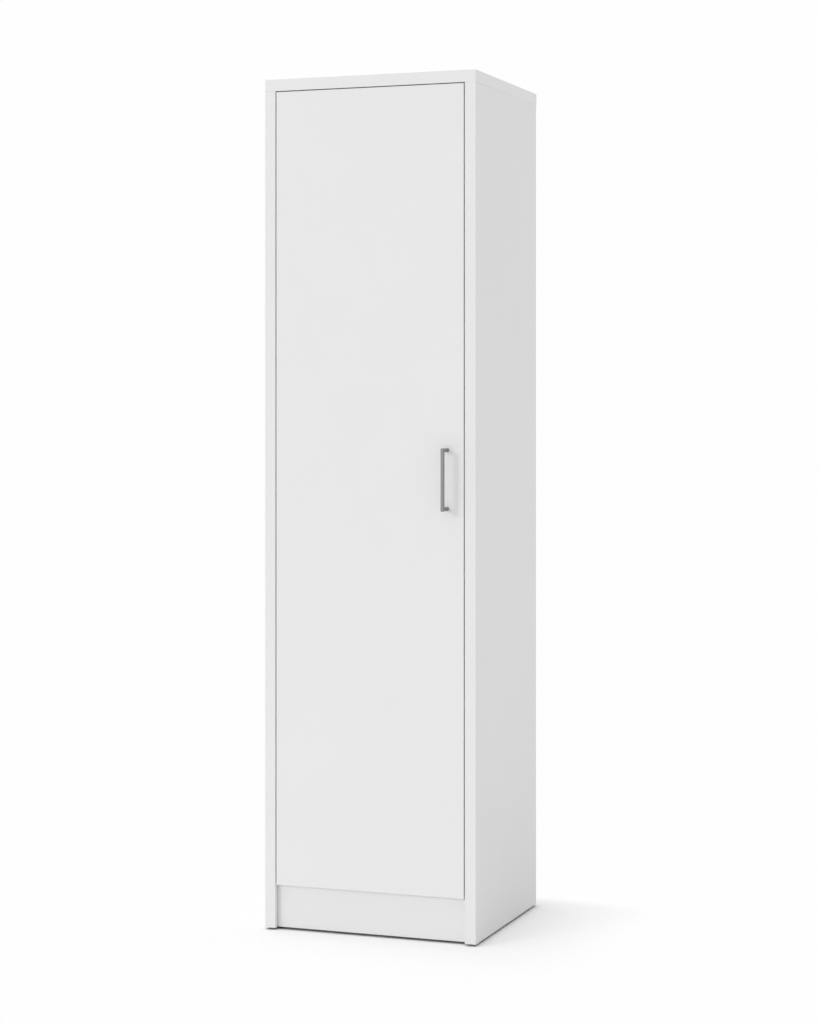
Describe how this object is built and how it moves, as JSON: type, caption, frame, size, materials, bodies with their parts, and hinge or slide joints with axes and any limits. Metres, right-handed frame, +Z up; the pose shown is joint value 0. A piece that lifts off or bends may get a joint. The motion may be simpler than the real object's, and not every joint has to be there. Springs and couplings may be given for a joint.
{
  "type": "wardrobe",
  "caption": "Tall narrow wardrobe of white faced board with an inset hinged door on concealed cup hinges, a bow handle, a recessed plinth, a hat shelf and a hanging rail.",
  "frame": {"origin": "on the floor, under the middle of the overall box", "axes": "+Z up, the door faces -Y, +X to the right of someone who faces the door"},
  "size_m": [0.497, 0.48, 1.9],
  "materials": {
    "white_faced_board": "white melamine face, satin",
    "hardboard": "thin board, white inside and brown outside",
    "handle_nickel": "brushed nickel",
    "plated_steel": "bright nickel plate",
    "chromed_tube": "chrome plate",
    "chromed_socket": "satin chrome plate on a casting",
    "zinc": "plain zinc casting",
    "pale_nylon": "smooth nylon",
    "white_plastic": "moulded, satin",
    "clear_buffer": "soft clear pad"
  },
  "bodies": {
    "carcass": {"side_panel_left": "white_faced_board", "side_panel_right": "white_faced_board", "top_panel": "white_faced_board", "base_panel": "white_faced_board", "plinth": "white_faced_board", "hat_shelf": "white_faced_board", "back_panel": "hardboard", "cam_top_left_front": "zinc", "cam_top_left_back": "zinc", "cam_top_right_front": "zinc", "cam_top_right_back": "zinc", "cam_base_left_front": "zinc", "cam_base_left_back": "zinc", "cam_base_right_front": "zinc", "cam_base_right_back": "zinc", "cam_bolt_top_left_front": "zinc", "cam_bolt_top_left_back": "zinc", "cam_bolt_top_right_front": "zinc", "cam_bolt_top_right_back": "zinc", "cam_bolt_base_left_front": "zinc", "cam_bolt_base_left_back": "zinc", "cam_bolt_base_right_front": "zinc", "cam_bolt_base_right_back": "zinc", "glide_left_front": "pale_nylon", "glide_left_back": "pale_nylon", "glide_right_front": "pale_nylon", "glide_right_back": "pale_nylon", "shelf_pin_left_front": "plated_steel", "shelf_pin_left_back": "plated_steel", "shelf_pin_right_front": "plated_steel", "shelf_pin_right_back": "plated_steel", "plinth_block_left": "white_plastic", "plinth_block_right": "white_plastic", "rail_socket_left": "chromed_socket", "rail_socket_right": "chromed_socket", "hanging_rail": "chromed_tube", "door_buffer_left": "clear_buffer", "door_buffer_right": "clear_buffer", "hinge_plate_lower": "plated_steel", "hinge_plate_middle": "plated_steel", "hinge_plate_upper": "plated_steel", "hinge_arm_lower": "plated_steel", "hinge_arm_middle": "plated_steel", "hinge_arm_upper": "plated_steel"},
    "hinge_outer_links": {"outer_link_lower": "plated_steel", "outer_link_middle": "plated_steel", "outer_link_upper": "plated_steel"},
    "hinge_inner_links": {"inner_link_lower": "plated_steel", "inner_link_middle": "plated_steel", "inner_link_upper": "plated_steel"},
    "door": {"door_panel": "white_faced_board", "handle": "handle_nickel", "handle_screw_upper": "plated_steel", "handle_screw_lower": "plated_steel", "hinge_cup_lower": "plated_steel", "hinge_cup_middle": "plated_steel", "hinge_cup_upper": "plated_steel"}
  },
  "joints": [
    {"name": "outer_link_turn", "type": "hinge", "parent": "carcass", "child": "hinge_outer_links", "pos_m": [-0.1915, -0.171, 0.9864], "axis": [0, 0, 1], "range_deg": [0, 25.3]},
    {"name": "door_swing", "type": "hinge", "parent": "hinge_outer_links", "child": "door", "pos_m": [-0.2117, -0.193, 0.9864], "axis": [0, 0, -1], "range_deg": [0, 120]},
    {"name": "inner_link_turn", "type": "hinge", "parent": "carcass", "child": "hinge_inner_links", "pos_m": [-0.1877, -0.1886, 0.9864], "axis": [0, 0, 1], "range_deg": [0, 25.3]}
  ],
  "couplings": [
    {"joint": "outer_link_turn", "follows": "door_swing", "ratio": 0.21053},
    {"joint": "inner_link_turn", "follows": "door_swing", "ratio": 0.21053}
  ]
}
